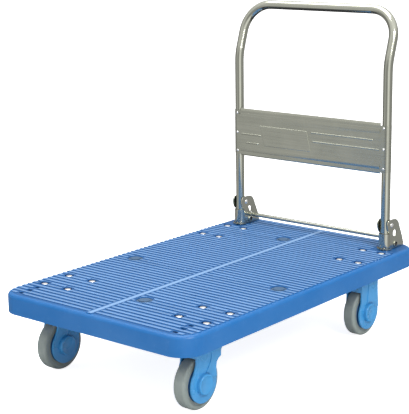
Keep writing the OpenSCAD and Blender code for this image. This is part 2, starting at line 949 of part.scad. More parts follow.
module handle_tube() {
    color("lightgray")
    difference() {
        union() {
            both_sides() handle_half();
            translate([0, leg_y, kink_z])
                rotate([-lean, 0, 0])
                    translate([-leg_x + corner_r - entry, 0, lean_l])
                        rotate([0, 90, 0])
                            linear_extrude(2 * (leg_x - corner_r + entry))
                                tube_section(2 * entry_thin);
        }
        both_sides() {
            translate([leg_x, hinge_y, hinge_z]) rod_x(-20, 20, hinge_r + run);
            at_rivets() cylinder(r = rivet_r + loose, h = 6);
        }
    }
}

// Rivet places at the right leg, z pointing to the rear from the panel's face.
module at_rivets() {
    for (z = rivet_z) {
        translate([rivet_x, panel_y, panel_z + z]) rotate([-90, 0, 0]) children();
    }
}

// A bead pressed forward in the panel, from x0 to x1 at height z above the panel's foot.
module bead(x0, x1, z) {
    translate([(x0 + x1) / 2, panel_y + 0.3, panel_z + z])
        rotate([90, 0, 0]) slot(x1 - x0, bead_w, bead_h + 0.3);
}

module back_panel() {
    f = panel_y;
    z0 = panel_z;
    z1 = panel_z + panel_h;
    color("lightgray")
    difference() {
        union() {
            // middle, with a crease and a turned-back band along the top and the bottom
            along_x(-panel_flat, panel_flat) polygon([
                [f + turn_back, z0], [f - crease, z0 + band], [f, z0 + band + 6],
                [f, z1 - band - 6], [f - crease, z1 - band], [f + turn_back, z1],
                [f + turn_back + sheet_t, z1], [f - crease + sheet_t, z1 - band],
                [f + sheet_t, z1 - band - 6], [f + sheet_t, z0 + band + 6],
                [f - crease + sheet_t, z0 + band], [f + turn_back + sheet_t, z0],
            ]);
            translate([0, 0, z0 + 4])
                linear_extrude(panel_h - 10) {
                    translate([-leg_x, f]) square([2 * leg_x, sheet_t]);
                    both_sides() panel_wrap();
                }
            bead(12, panel_flat - 22, 91);
            bead(16, panel_flat - 2, 66);
            bead(-panel_flat + 2, -164, 64.5);
            bead(-panel_flat + 20, -173, 39.5);
            translate([0, f + 0.3, z0])
                rotate([90, 0, 0])
                    linear_extrude(bead_h + 0.3)
                        polygon([[-166, 94], [-2, 94], [12, 36], [-150, 36]]);
        }
        both_sides() at_rivets() translate([0, 0, -cut]) cylinder(r = rivet_r + loose, h = 6);
    }
}

// Sheet wrapped round the outer front of the right leg.
module panel_wrap() {
    r = tube_r + panel_gap;
    translate([leg_x, leg_y])
        difference() {
            circle(r = r + sheet_t);
            circle(r = r);
            translate([-40, -40]) square([40, 80]);
            translate([-40, 2.2]) square([80, 40]);
        }
}

module panel_rivets() {
    color("whitesmoke")
    both_sides() at_rivets() {
        translate([0, 0, -rivet_head_h])
            cylinder(r1 = rivet_head_r - 1.4, r2 = rivet_head_r, h = rivet_head_h);
        cylinder(r = rivet_r, h = sheet_t + panel_gap + 2.2);
    }
}

// ---------- release ----------

module release_rod() {
    color("lightgray")
    translate([0, catch_y + rod_arm * cos(rod_rest), catch_z + rod_arm * sin(rod_rest)])
        rod_x(-leg_x - 10, leg_x + 10, rod_r);
}

// Arm that turns on the catch pin and carries one end of the rod.
module catch_arm() {
    ry = rod_arm * cos(rod_rest);
    rz = rod_arm * sin(rod_rest);
    translate([leg_x, catch_y, catch_z])
    difference() {
        union() {
            rod_x(-9, 9, 7.4);
            translate([0, ry, rz]) rod_x(-9, 9, rod_r + 2.2);
            along_x(-9, 9) polygon([[-7, 0], [7, 0], [ry + 7, rz], [ry - 7, rz]]);
        }
        rod_x(-20, 20, catch_r + run);
        translate([0, ry, rz]) rod_x(-20, 20, rod_r + loose);
    }
}

module catch_l() {
    color("gray") mirror([1, 0, 0]) catch_arm();
}

module catch_r() {
    color("gray") catch_arm();
}

deck();
deck_inserts();
swivel_bolts();
rigid_bolts();
caster_nuts();
caster_washers();
swivel_plate_l();
swivel_plate_r();
kingpins();
rigid_fork_l();
rigid_fork_r();
rigid_axles();
rigid_axle_nuts();
rigid_caps();
bracket_l();
bracket_r();
bracket_bolts();
bracket_nuts();
hinge_pins();
catch_pins();
return_spring();
handle_tube();
back_panel();
panel_rivets();
release_rod();
catch_l();
catch_r();
swivel_fork_l();
swivel_axle_l();
swivel_axle_nut_l();
swivel_caps_l();
ball_ring_l();
swivel_fork_r();
swivel_axle_r();
swivel_axle_nut_r();
swivel_caps_r();
ball_ring_r();
front_tyre_l();
front_core_l();
front_bearings_l();
front_tyre_r();
front_core_r();
front_bearings_r();
rear_tyre_l();
rear_core_l();
rear_bearings_l();
rear_tyre_r();
rear_core_r();
rear_bearings_r();
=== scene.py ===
import bmesh
import bpy
import json
import math
from mathutils import Euler, Matrix, Vector


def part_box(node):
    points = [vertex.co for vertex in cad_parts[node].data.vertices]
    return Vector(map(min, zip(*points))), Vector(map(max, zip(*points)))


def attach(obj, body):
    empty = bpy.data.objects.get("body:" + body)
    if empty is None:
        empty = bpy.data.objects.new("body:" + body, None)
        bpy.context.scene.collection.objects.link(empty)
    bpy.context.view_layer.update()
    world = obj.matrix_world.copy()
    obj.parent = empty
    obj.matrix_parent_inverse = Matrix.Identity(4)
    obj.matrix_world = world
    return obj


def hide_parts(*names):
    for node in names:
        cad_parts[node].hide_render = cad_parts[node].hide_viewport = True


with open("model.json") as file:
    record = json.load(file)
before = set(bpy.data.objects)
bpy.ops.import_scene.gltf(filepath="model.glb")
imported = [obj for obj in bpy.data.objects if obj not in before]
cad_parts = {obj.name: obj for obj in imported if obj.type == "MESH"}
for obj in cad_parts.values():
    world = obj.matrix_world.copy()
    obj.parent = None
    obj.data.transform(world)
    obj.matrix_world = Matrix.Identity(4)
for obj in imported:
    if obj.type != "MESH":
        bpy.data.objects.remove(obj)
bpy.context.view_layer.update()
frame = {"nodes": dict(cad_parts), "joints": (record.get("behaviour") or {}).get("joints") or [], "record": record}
nodes = frame["nodes"]
record = frame["record"]
bodyOf = {node: body for body, members in record["behaviour"]["bodies"].items() for node in members}
slotOf = {part["node"]: part["material_slot"] for part in record["subparts"]}
near = 0.0001  # faces and edges this close to a place count as being there
print("frame loaded:", len(nodes), "nodes")


def middle(node):
    low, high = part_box(node)
    return [(a + b) / 2 for a, b in zip(low, high)]


def extent(node):
    low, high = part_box(node)
    return [b - a for a, b in zip(low, high)]


# small helpers for building shader trees
def newGroup(name, inputs, outputs):
    group = bpy.data.node_groups.new(name, "ShaderNodeTree")
    for label, kind, value in inputs:
        socket = group.interface.new_socket(name=label, in_out="INPUT", socket_type=kind)
        socket.default_value = value
    for label, kind in outputs:
        group.interface.new_socket(name=label, in_out="OUTPUT", socket_type=kind)
    return group, group.nodes.new("NodeGroupInput"), group.nodes.new("NodeGroupOutput")


# a socket takes a plain value or a link
def plug(tree, value, socket):
    if isinstance(value, (int, float, tuple)):
        socket.default_value = value
    else:
        tree.links.new(value, socket)


def mathNode(tree, operation, first, second, clamp=False):
    node = tree.nodes.new("ShaderNodeMath")
    node.operation = operation
    node.use_clamp = clamp
    plug(tree, first, node.inputs[0])
    plug(tree, second, node.inputs[1])
    return node.outputs[0]


def noiseNode(tree, vector, scale, detail=4, roughness=0.55):
    node = tree.nodes.new("ShaderNodeTexNoise")
    tree.links.new(vector, node.inputs["Vector"])
    plug(tree, scale, node.inputs["Scale"])
    node.inputs["Detail"].default_value = detail
    node.inputs["Roughness"].default_value = roughness
    return node.outputs["Fac"]


# 0 at low, 1 at high and beyond
def rampNode(tree, value, low, high):
    node = tree.nodes.new("ShaderNodeMapRange")
    tree.links.new(value, node.inputs["Value"])
    node.inputs["From Min"].default_value = low
    node.inputs["From Max"].default_value = high
    return node.outputs["Result"]


def mixColour(tree, factor, first, second):
    node = tree.nodes.new("ShaderNodeMix")
    node.data_type = "RGBA"
    plug(tree, factor, node.inputs[0])
    plug(tree, first, node.inputs[6])
    plug(tree, second, node.inputs[7])
    return node.outputs[2]


# moulded resin: fine grain, slow colour drift and a few rubbed places
def makeResinGroup():
    group, gin, gout = newGroup(
        "mouldedResin",
        [("Base", "NodeSocketColor", (0.1, 0.3, 0.6, 1)),
         ("Pale", "NodeSocketColor", (0.2, 0.4, 0.7, 1)),
         ("Grain Scale", "NodeSocketFloat", 900.0), ("Rubbed", "NodeSocketFloat", 0.25),
         ("Roughness", "NodeSocketFloat", 0.35)],
        [("Colour", "NodeSocketColor"), ("Roughness", "NodeSocketFloat"), ("Height", "NodeSocketFloat")])
    coord = group.nodes.new("ShaderNodeTexCoord").outputs["Object"]
    drift = rampNode(group, noiseNode(group, coord, 7.0, 3), 0.35, 0.68)
    scuff = rampNode(group, noiseNode(group, coord, 46.0, 7, 0.7), 0.56, 0.72)
    grain = noiseNode(group, coord, gin.outputs["Grain Scale"], 2)
    rubbed = mathNode(group, "MULTIPLY", scuff, gin.outputs["Rubbed"])
    toPale = mathNode(group, "ADD", mathNode(group, "MULTIPLY", drift, 0.16), rubbed, True)
    group.links.new(mixColour(group, toPale, gin.outputs["Base"], gin.outputs["Pale"]), gout.inputs["Colour"])
    rough = mathNode(group, "ADD", gin.outputs["Roughness"], mathNode(group, "MULTIPLY", rubbed, 0.5))
    rough = mathNode(group, "ADD", rough, mathNode(group, "MULTIPLY", drift, 0.06), True)
    group.links.new(rough, gout.inputs["Roughness"])
    group.links.new(grain, gout.inputs["Height"])
    return group


# drawn or rolled metal: streaks along one direction over a cloudy finish
def makeMetalGroup():
    group, gin, gout = newGroup(
        "drawnMetal",
        [("Base", "NodeSocketColor", (0.6, 0.6, 0.55, 1)),
         ("Dull", "NodeSocketColor", (0.4, 0.4, 0.36, 1)),
         ("Stretch", "NodeSocketVector", (1, 1, 1)), ("Streaks", "NodeSocketFloat", 0.5),
         ("Roughness", "NodeSocketFloat", 0.25)],
        [("Colour", "NodeSocketColor"), ("Roughness", "NodeSocketFloat"), ("Height", "NodeSocketFloat")])
    coord = group.nodes.new("ShaderNodeTexCoord").outputs["Object"]
    stretch = group.nodes.new("ShaderNodeVectorMath")
    stretch.operation = "MULTIPLY"
    group.links.new(coord, stretch.inputs[0])
    group.links.new(gin.outputs["Stretch"], stretch.inputs[1])
    streak = noiseNode(group, stretch.outputs["Vector"], 300.0, 5, 0.6)
    cloud = rampNode(group, noiseNode(group, coord, 18.0, 5), 0.35, 0.7)
    mark = mathNode(group, "MULTIPLY", rampNode(group, streak, 0.35, 0.65), gin.outputs["Streaks"])
    toDull = mathNode(group, "ADD", mark, mathNode(group, "MULTIPLY", cloud, 0.25), True)
    group.links.new(mixColour(group, toDull, gin.outputs["Base"], gin.outputs["Dull"]), gout.inputs["Colour"])
    rough = mathNode(group, "ADD", gin.outputs["Roughness"], mathNode(group, "MULTIPLY", toDull, 0.12), True)
    group.links.new(rough, gout.inputs["Roughness"])
    group.links.new(streak, gout.inputs["Height"])
    return group


# tyre rubber: soft mottling, with dust where it is worn
def makeRubberGroup():
    group, gin, gout = newGroup(
        "tyreRubber",
        [("Base", "NodeSocketColor", (0.3, 0.3, 0.27, 1)),
         ("Dust", "NodeSocketColor", (0.45, 0.44, 0.4, 1)),
         ("Dusty", "NodeSocketFloat", 0.4)],
        [("Colour", "NodeSocketColor"), ("Roughness", "NodeSocketFloat"), ("Height", "NodeSocketFloat")])
    coord = group.nodes.new("ShaderNodeTexCoord").outputs["Object"]
    mottle = rampNode(group, noiseNode(group, coord, 60.0, 6, 0.65), 0.38, 0.7)
    dust = mathNode(group, "MULTIPLY", mottle, gin.outputs["Dusty"])
    group.links.new(mixColour(group, dust, gin.outputs["Base"], gin.outputs["Dust"]), gout.inputs["Colour"])
    rough = mathNode(group, "ADD", mathNode(group, "MULTIPLY", dust, 0.25), 0.42)
    group.links.new(rough, gout.inputs["Roughness"])
    group.links.new(noiseNode(group, coord, 700.0, 3), gout.inputs["Height"])
    return group


# how far below the deck's top each mask starts and ends, in metres; the groove and well masks place painted shade,
# the underside is left unpainted
treadDepth = {"groove": (0.0002, 0.0014), "well": (0.0017, 0.0024), "underside": 0.0069}


# masks for the deck's top: rib tops, the grooves between them, the wells and slots, the middle strip; they place
# the painted highlight and painted shade
def makeTreadGroup():
    group, gin, gout = newGroup(
        "treadMasks",
        [("Top", "NodeSocketFloat", 0.22), ("Half Width", "NodeSocketFloat", 0.3),
         ("Half Length", "NodeSocketFloat", 0.5), ("Corner", "NodeSocketFloat", 0.05),
         ("Rim", "NodeSocketFloat", 0.01), ("Strip", "NodeSocketFloat", 0.004)],
        [("Rib", "NodeSocketFloat"), ("Groove", "NodeSocketFloat"), ("Well", "NodeSocketFloat"),
         ("Strip", "NodeSocketFloat")])
    coord = group.nodes.new("ShaderNodeTexCoord").outputs["Object"]
    split = group.nodes.new("ShaderNodeSeparateXYZ")
    group.links.new(coord, split.inputs["Vector"])
    # inside the rounded outline, less its rim, and not as low as the underside
    away = []
    for axis, half in (("X", "Half Width"), ("Y", "Half Length")):
        straight = mathNode(group, "SUBTRACT", gin.outputs[half], gin.outputs["Corner"])
        side = mathNode(group, "ABSOLUTE", split.outputs[axis], 0.0)
        side = mathNode(group, "MAXIMUM", mathNode(group, "SUBTRACT", side, straight), 0.0)
        away.append(mathNode(group, "POWER", side, 2.0))
    away = mathNode(group, "SQRT", mathNode(group, "ADD", away[0], away[1]), 0.0)
    reach = mathNode(group, "SUBTRACT", gin.outputs["Corner"], gin.outputs["Rim"])
    depth = mathNode(group, "SUBTRACT", gin.outputs["Top"], split.outputs["Z"])
    inside = mathNode(group, "MULTIPLY", mathNode(group, "LESS_THAN", away, reach),
                      mathNode(group, "LESS_THAN", depth, treadDepth["underside"]))
    groove = mathNode(group, "MULTIPLY", rampNode(group, depth, *treadDepth["groove"]), inside)
    well = mathNode(group, "MULTIPLY", rampNode(group, depth, *treadDepth["well"]), inside)
    rib = mathNode(group, "MULTIPLY", mathNode(group, "SUBTRACT", 1.0, groove), inside)
    strip = mathNode(group, "ABSOLUTE", split.outputs["X"], 0.0)
    strip = mathNode(group, "MULTIPLY", mathNode(group, "LESS_THAN", strip, gin.outputs["Strip"]), rib)
    for label, value in (("Rib", rib), ("Groove", groove), ("Well", well), ("Strip", strip)):
        group.links.new(value, gout.inputs[label])
    return group


groups = {
    "resin": makeResinGroup(), "metal": makeMetalGroup(), "rubber": makeRubberGroup(),
    "tread": makeTreadGroup(),
}


# bump is its strength and height; fixed holds values set straight on the shader
def makeMaterial(name, kind, values, bump, fixed):
    mat = bpy.data.materials.new(name)
    mat.use_nodes = True
    tree = mat.node_tree
    shader = tree.nodes["Principled BSDF"]
    effect = tree.nodes.new("ShaderNodeGroup")
    effect.name = "effect"
    effect.node_tree = groups[kind]
    for label, value in values.items():
        effect.inputs[label].default_value = value
    tree.links.new(effect.outputs["Colour"], shader.inputs["Base Color"])
    tree.links.new(effect.outputs["Roughness"], shader.inputs["Roughness"])
    bumpNode = tree.nodes.new("ShaderNodeBump")
    bumpNode.inputs["Strength"].default_value = bump[0]
    bumpNode.inputs["Distance"].default_value = bump[1]
    tree.links.new(effect.outputs["Height"], bumpNode.inputs["Height"])
    tree.links.new(bumpNode.outputs["Normal"], shader.inputs["Normal"])
    for label, value in fixed.items():
        shader.inputs[label].default_value = value
    return mat


finishes = {
    "deckResin": makeMaterial(
        "deckResin", "resin",
        {"Base": (0.008, 0.128, 0.385, 1), "Pale": (0.10, 0.26, 0.54, 1), "Grain Scale": 900, "Rubbed": 0.16,
         "Roughness": 0.32},
        (0.25, 0.0003), {"Specular IOR Level": 0.38}),
    "forkResin": makeMaterial(
        "forkResin", "resin",
        {"Base": (0.045, 0.285, 0.610, 1), "Pale": (0.14, 0.40, 0.72, 1), "Grain Scale": 1100, "Rubbed": 0.10,
         "Roughness": 0.26},
        (0.2, 0.0002), {"Specular IOR Level": 0.5, "Coat Weight": 0.4, "Coat Roughness": 0.12}),
    "insertResin": makeMaterial(
        "insertResin", "resin",
        {"Base": (0.045, 0.105, 0.200, 1), "Pale": (0.12, 0.19, 0.29, 1), "Grain Scale": 900, "Rubbed": 0.3,
         "Roughness": 0.5},
        (0.3, 0.0003), {"Specular IOR Level": 0.4}),
    "coreResin": makeMaterial(
        "coreResin", "resin",
        {"Base": (0.04, 0.15, 0.38, 1), "Pale": (0.10, 0.25, 0.52, 1), "Grain Scale": 900, "Rubbed": 0.15,
         "Roughness": 0.45},
        (0.3, 0.0003), {"Specular IOR Level": 0.4}),
    "tyreGrey": makeMaterial(
        "tyreGrey", "rubber",
        {"Base": (0.235, 0.275, 0.262, 1), "Dust": (0.35, 0.385, 0.365, 1), "Dusty": 0.5},
        (0.3, 0.0003), {"Specular IOR Level": 0.5}),
    "satinTube": makeMaterial(
        "satinTube", "metal",
        {"Base": (0.66, 0.67, 0.57, 1), "Dull": (0.50, 0.51, 0.43, 1), "Stretch": (1, 1, 0.02),
         "Streaks": 0.3, "Roughness": 0.10},
        (0.05, 0.0001), {"Metallic": 1.0}),
    "rodSteel": makeMaterial(
        "rodSteel", "metal",
        {"Base": (0.56, 0.57, 0.50, 1), "Dull": (0.42, 0.43, 0.38, 1), "Stretch": (0.02, 1, 1),
         "Streaks": 0.3, "Roughness": 0.10},
        (0.05, 0.0001), {"Metallic": 1.0}),
    "pressedSheet": makeMaterial(
        "pressedSheet", "metal",
        {"Base": (0.60, 0.61, 0.53, 1), "Dull": (0.44, 0.45, 0.39, 1), "Stretch": (1, 1, 0.3),
         "Streaks": 0.3, "Roughness": 0.12},
        (0.06, 0.0001), {"Metallic": 1.0}),
    "satinSheet": makeMaterial(
        "satinSheet", "metal",
        {"Base": (0.58, 0.59, 0.50, 1), "Dull": (0.44, 0.45, 0.38, 1), "Stretch": (0.02, 1, 1),
         "Streaks": 0.35, "Roughness": 0.22},
        (0.06, 0.0001), {"Metallic": 1.0}),
    "brightZinc": makeMaterial(
        "brightZinc", "metal",
        {"Base": (0.90, 0.90, 0.89, 1), "Dull": (0.66, 0.66, 0.66, 1), "Stretch": (1, 1, 1),
         "Streaks": 0.25, "Roughness": 0.25},
        (0.08, 0.0001), {"Metallic": 0.85}),
    "darkSteel": makeMaterial(
        "darkSteel", "metal",
        {"Base": (0.030, 0.030, 0.033, 1), "Dull": (0.06, 0.055, 0.05, 1), "Stretch": (1, 1, 1),
         "Streaks": 0.4, "Roughness": 0.35},
        (0.15, 0.0001), {"Metallic": 0.6}),
}


# painted light and shade on the deck's top: rib tops and the middle strip painted paler as lit tops (painted
# highlight), the grooves, wells and slots painted darker (painted shade)
def shadeTread(mat):
    size = extent("deck")
    shape = {"Top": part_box("deck")[1][2], "Half Width": size[0] / 2, "Half Length": size[1] / 2,
             "Corner": 0.058, "Rim": 0.011, "Strip": 0.0045}
    # weights and colours of the painted highlight (rib, strip, pale) and the painted shade (groove, well, shade)
    paintedLightShade = {"rib": 0.46, "strip": 0.30, "groove": 0.42, "well": 0.96,
            "pale": (0.27, 0.44, 0.69, 1), "shade": (0.004, 0.040, 0.15, 1)}
    tree = mat.node_tree
    tread = tree.nodes.new("ShaderNodeGroup")
    tread.node_tree = groups["tread"]
    for label, value in shape.items():
        tread.inputs[label].default_value = value
    # painted highlight: rib tops and the middle strip mixed toward the pale colour
    toPale = mathNode(tree, "ADD", mathNode(tree, "MULTIPLY", tread.outputs["Rib"], paintedLightShade["rib"]),
                      mathNode(tree, "MULTIPLY", tread.outputs["Strip"], paintedLightShade["strip"]), True)
    # painted shade: grooves mixed toward the shade colour, wells and slots almost fully
    toShade = mathNode(tree, "MAXIMUM", mathNode(tree, "MULTIPLY", tread.outputs["Groove"], paintedLightShade["groove"]),
                       mathNode(tree, "MULTIPLY", tread.outputs["Well"], paintedLightShade["well"]))
    colour = mixColour(tree, toPale, tree.nodes["effect"].outputs["Colour"], paintedLightShade["pale"])
    colour = mixColour(tree, toShade, colour, paintedLightShade["shade"])
    tree.links.new(colour, tree.nodes["Principled BSDF"].inputs["Base Color"])


shadeTread(finishes["deckResin"])
print("finishes made")

slotFinish = {
    "deck_resin": "deckResin", "fork_resin": "forkResin", "insert_resin": "insertResin",
    "core_resin": "coreResin", "tyre": "tyreGrey", "stainless": "satinSheet", "zinc": "brightZinc",
    "dark_steel": "darkSteel",
}
nodeFinish = {
    "handle_tube": "satinTube", "release_rod": "rodSteel", "bracket_l": "pressedSheet",
    "bracket_r": "pressedSheet",
}


def finishOf(name):
    return finishes[nodeFinish.get(name, slotFinish[slotOf[name]])]


for name, obj in nodes.items():
    obj.data.materials.clear()
    obj.data.materials.append(finishOf(name))


def deselectAll():
    if bpy.context.object and bpy.context.object.mode != "OBJECT":
        bpy.ops.object.mode_set(mode="OBJECT")
    bpy.ops.object.select_all(action="DESELECT")


def makeActive(piece):
    deselectAll()
    bpy.context.view_layer.objects.active = piece
    piece.select_set(True)


# readies a finished piece: applies its transforms, gives it the finish chosen for the node it stands for, attaches
# it to that node's body and hides the plain node
def settle(piece, node, smooth=None):
    makeActive(piece)
    bpy.ops.object.transform_apply(location=True, rotation=True, scale=True)
    if smooth:
        bpy.ops.object.shade_smooth_by_angle(angle=math.radians(smooth))
    piece.data.materials.clear()
    piece.data.materials.append(finishOf(node))
    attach(piece, bodyOf[node])
    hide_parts(node)


# selects, in edit mode, the faces or edges for which the test is true
def pick(piece, kind, test):
    bpy.ops.mesh.select_mode(type=kind)
    bpy.ops.mesh.select_all(action="DESELECT")
    shape = bmesh.from_edit_mesh(piece.data)
    for part in (shape.faces if kind == "FACE" else shape.edges):
        if test(part):
            part.select_set(True)
    bmesh.update_edit_mesh(piece.data)


# weld: points this close are joined; flat: faces within this angle are made one
soft = {"weld": 0.00001, "flat": 0.4, "steps": 2, "angle": 32, "smooth": 35}


# a node's own shape with its edges softened, standing in for the plain node
def softCopy(name, width, smooth=soft["smooth"], shape=None):
    piece = bpy.data.objects.new(name + "_soft", nodes[name].data.copy())
    bpy.context.scene.collection.objects.link(piece)
    makeActive(piece)
    bpy.ops.object.mode_set(mode="EDIT")
    bpy.ops.mesh.select_all(action="SELECT")
    bpy.ops.mesh.remove_doubles(threshold=soft["weld"])
    bpy.ops.mesh.dissolve_limited(angle_limit=math.radians(soft["flat"]))
    if shape:
        shape(piece)
    bpy.ops.object.mode_set(mode="OBJECT")
    bpy.ops.object.shade_smooth_by_angle(angle=math.radians(smooth))
    if width > 0:
        bevel = piece.modifiers.new("soften", "BEVEL")
        bevel.width = width
        bevel.segments = soft["steps"]
        bevel.limit_method = "ANGLE"
        bevel.angle_limit = math.radians(soft["angle"])
        bevel.harden_normals = True  # flat faces keep their own shade beside the soft edges
        bpy.ops.object.modifier_apply(modifier="soften")
    else:
        weigh = piece.modifiers.new("weigh", "WEIGHTED_NORMAL")
        weigh.keep_sharp = True
        bpy.ops.object.modifier_apply(modifier="weigh")
    settle(piece, name)


# the back panel's beads are pressed round, a little lower than its two creases
beads = {"below": 0.0004, "round": 0.00155, "steps": 8, "smooth": 14}


def roundBeads(piece):
    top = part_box("back_panel")[0][1] + beads["below"]
    pick(piece, "EDGE", lambda edge: all(abs(vert.co.y - top) < near / 2 for vert in edge.verts))
    bpy.ops.mesh.bevel(offset=beads["round"], segments=beads["steps"], profile=0.5, affect="EDGES")


softCopy("back_panel", 0.0, beads["smooth"], roundBeads)

# width of the softened edge, for each piece that can be seen
softEdges = {
    "deck": 0.0006, "bracket_l": 0.0007, "bracket_r": 0.0007,
    "swivel_fork_l": 0.0011, "swivel_fork_r": 0.0011, "rigid_fork_l": 0.0011, "rigid_fork_r": 0.0011,
    "deck_inserts": 0.0006, "handle_tube": 0.0, "release_rod": 0.0006, "swivel_bolts": 0.0005,
    "rigid_bolts": 0.0005, "panel_rivets": 0.0003, "hinge_pins": 0.0006, "catch_pins": 0.0003,
    "catch_l": 0.0006, "catch_r": 0.0006,
}
for name, width in softEdges.items():
    softCopy(name, width)
print("edges softened")


def distanceFromAxis(vert):
    return math.hypot(vert.co.y, vert.co.z)


# a round blank lying along X about the origin, in edit mode
def roundBlank(name, radius, length, facets):
    deselectAll()
    bpy.ops.mesh.primitive_cylinder_add(
        vertices=facets, radius=radius, depth=length, end_fill_type="NGON", rotation=(0, math.pi / 2, 0))
    piece = bpy.context.object
    piece.name = name
    bpy.ops.object.transform_apply(location=True, rotation=True, scale=True)
    bpy.ops.object.mode_set(mode="EDIT")
    return piece


def copyTo(model, name, place, turned=False):
    piece = bpy.data.objects.new(name, model.data.copy())
    bpy.context.scene.collection.objects.link(piece)
    turn = Matrix.Rotation(math.pi if turned else 0.0, 4, "Z")
    piece.data.transform(Matrix.Translation(place) @ turn)
    return piece


def discard(model):
    bpy.data.objects.remove(model, do_unlink=True)


# tyre: flat tread, round shoulders and a stepped ring moulded in each side
tyre = {"shoulder": 0.0056, "shoulderSteps": 5, "ring": 0.0105, "ringStep": 0.0008, "facets": 128,
        "smooth": 28}


def makeTyre():
    radius = extent("front_tyre_r")[2] / 2
    width = extent("front_tyre_r")[0]
    bore = extent("front_core_r")[2] / 2
    piece = roundBlank("tyreModel", radius, width, tyre["facets"])
    pick(piece, "FACE", lambda face: abs(face.normal.x) > 0.9)
    bpy.ops.mesh.inset(thickness=tyre["ring"])
    bpy.ops.mesh.inset(thickness=tyre["ringStep"], depth=-tyre["ringStep"])
    bpy.ops.mesh.inset(thickness=radius - bore - tyre["ring"] - tyre["ringStep"])
    bpy.ops.mesh.bridge_edge_loops()
    pick(piece, "EDGE", lambda edge: all(distanceFromAxis(v) > radius - near for v in edge.verts)
         and abs(edge.verts[0].co.x - edge.verts[1].co.x) < near)
    bpy.ops.mesh.bevel(offset=tyre["shoulder"], segments=tyre["shoulderSteps"], profile=0.5,
                       affect="EDGES")
    bpy.ops.object.mode_set(mode="OBJECT")
    return piece


tyreModel = makeTyre()
for name in ("front_tyre_l", "front_tyre_r", "rear_tyre_l", "rear_tyre_r"):
    settle(copyTo(tyreModel, name + "_round", middle(name)), name, tyre["smooth"])
discard(tyreModel)
print("tyres made")

# axle caps: a dished disc with a rolled rim, hollow behind for the bolt head
cap = {"depth": 0.0097, "rim": 0.0030, "rimSteps": 4, "dishIn": 0.0045, "dish": 0.0007,
       "dishSlope": 0.0010, "hollow": 0.0140, "skin": 0.0015, "facets": 64, "smooth": 35}


def makeCap(radius):
    piece = roundBlank("capModel", radius, cap["depth"], cap["facets"])
    outward = cap["depth"] / 2
    pick(piece, "EDGE", lambda edge: all(v.co.x > outward - near for v in edge.verts))
    bpy.ops.mesh.bevel(offset=cap["rim"], segments=cap["rimSteps"], profile=0.5, affect="EDGES")
    pick(piece, "FACE", lambda face: face.normal.x > 0.99)
    bpy.ops.mesh.inset(thickness=cap["dishIn"] - cap["rim"])
    bpy.ops.mesh.inset(thickness=cap["dishSlope"], depth=-cap["dish"])
    pick(piece, "FACE", lambda face: face.normal.x < -0.99)
    bpy.ops.mesh.inset(thickness=radius - cap["hollow"])
    inward = cap["depth"] - cap["skin"]
    bpy.ops.mesh.extrude_region_move(TRANSFORM_OT_translate={"value": (inward, 0, 0)})
    bpy.ops.object.mode_set(mode="OBJECT")
    return piece


capModel = makeCap(extent("swivel_caps_r")[2] / 2)
capReach = extent("swivel_caps_r")[0] / 2 - cap["depth"] / 2
for node, wheel in (("swivel_caps_l", "front_tyre_l"), ("swivel_caps_r", "front_tyre_r"),
                    ("rigid_caps", "rear_tyre_l"), ("rigid_caps", "rear_tyre_r")):
    x, y, z = middle(wheel)
    for side, turned in ((1, False), (-1, True)):
        label = wheel.replace("tyre", "cap") + ("_right" if side > 0 else "_left")
        settle(copyTo(capModel, label, (x + side * capReach, y, z), turned), node, cap["smooth"])
discard(capModel)
print("axle caps made")

# return spring: wire coiled on the hinge pin's inner end, with a long leg down and a short tail up
spring = {"wire": 0.00095, "wireSides": 12, "turns": 2, "turnSteps": 32, "pitch": 0.0023,
          "radius": 0.0063, "legTurn": 13, "leg": 0.030, "tailTurn": 4, "tail": 0.0125, "smooth": 50}


def makeSpring():
    hinge = next(joint for joint in frame["joints"] if joint["name"] == "handle_fold")["pos_m"]
    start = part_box("return_spring")[1][0] - spring["wire"]
    deselectAll()
    bpy.ops.mesh.primitive_circle_add(vertices=spring["wireSides"], radius=spring["wire"],
                                      fill_type="NOTHING", location=(0, spring["radius"], 0))
    piece = bpy.context.object
    piece.name = "springModel"
    bpy.ops.object.transform_apply(location=True, rotation=True, scale=True)
    coil = piece.modifiers.new("coil", "SCREW")
    coil.axis = "X"
    coil.angle = math.tau * spring["turns"]
    coil.screw_offset = -spring["pitch"] * spring["turns"]
    coil.steps = coil.render_steps = spring["turnSteps"] * spring["turns"]
    bpy.ops.object.modifier_apply(modifier="coil")
    return piece, hinge, start


# legs grow from the two open ends of the coil
def growLeg(piece, atStart, value):
    bpy.ops.mesh.select_mode(type="EDGE")
    bpy.ops.mesh.select_all(action="DESELECT")
    shape = bmesh.from_edit_mesh(piece.data)
    ends = [edge for edge in shape.edges if edge.is_boundary]
    split = sum(edge.verts[0].co.x for edge in ends) / len(ends)
    for edge in ends:
        if (edge.verts[0].co.x > split) == atStart:
            edge.select_set(True)
    bmesh.update_edit_mesh(piece.data)
    bpy.ops.mesh.extrude_region_move(TRANSFORM_OT_translate={"value": value})
    bpy.ops.mesh.edge_face_add()


springPiece, hingePlace, springStart = makeSpring()
makeActive(springPiece)
bpy.ops.object.mode_set(mode="EDIT")
legAngle = math.radians(spring["legTurn"])
tailAngle = math.radians(spring["tailTurn"])
legStep = (0, spring["leg"] * math.sin(legAngle), -spring["leg"] * math.cos(legAngle))
tailStep = (0, -spring["tail"] * math.sin(tailAngle), spring["tail"] * math.cos(tailAngle))
growLeg(springPiece, True, legStep)
growLeg(springPiece, False, tailStep)
bpy.ops.mesh.select_all(action="SELECT")
bpy.ops.mesh.normals_make_consistent(inside=False)
bpy.ops.object.mode_set(mode="OBJECT")
springPiece.location = (springStart, hingePlace[1], hingePlace[2])
springPiece.name = "return_spring_coil"
settle(springPiece, "return_spring", spring["smooth"])
print("spring made")


